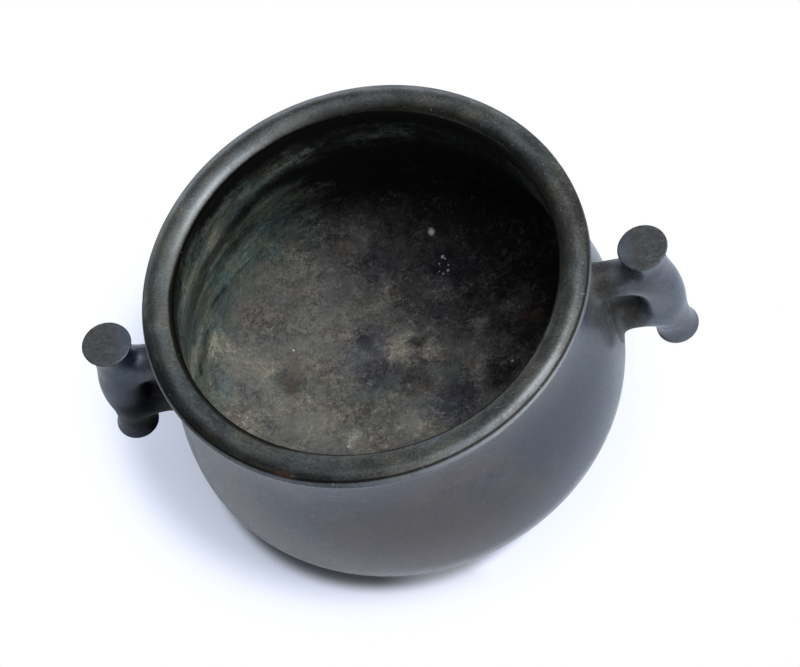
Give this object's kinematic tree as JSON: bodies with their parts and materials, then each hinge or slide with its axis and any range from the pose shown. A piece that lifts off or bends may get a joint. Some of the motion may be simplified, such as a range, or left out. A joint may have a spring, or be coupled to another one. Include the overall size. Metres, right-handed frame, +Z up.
{
  "type": "bronze censer",
  "caption": "Bronze incense burner: a turned bowl with a thick flared rim, drooping belly and foot ring, and fixed halberd-shaped handles soldered to its sides.",
  "frame": {"origin": "centre of the foot ring's resting face", "axes": "+Z up along the bowl's axis, +X through the right handle, -Y towards the viewer"},
  "size_m": [0.167, 0.126, 0.078],
  "materials": {
    "bowl_bronze": "satin dark patina",
    "handle_bronze": "satin dark patina",
    "solder": "satin dark patina"
  },
  "bodies": {
    "root": {"vessel_body": "bowl_bronze", "right_handle": "handle_bronze", "left_handle": "handle_bronze", "right_upper_solder_ring": "solder", "right_lower_solder_ring": "solder", "left_upper_solder_ring": "solder", "left_lower_solder_ring": "solder"}
  },
  "joints": []
}
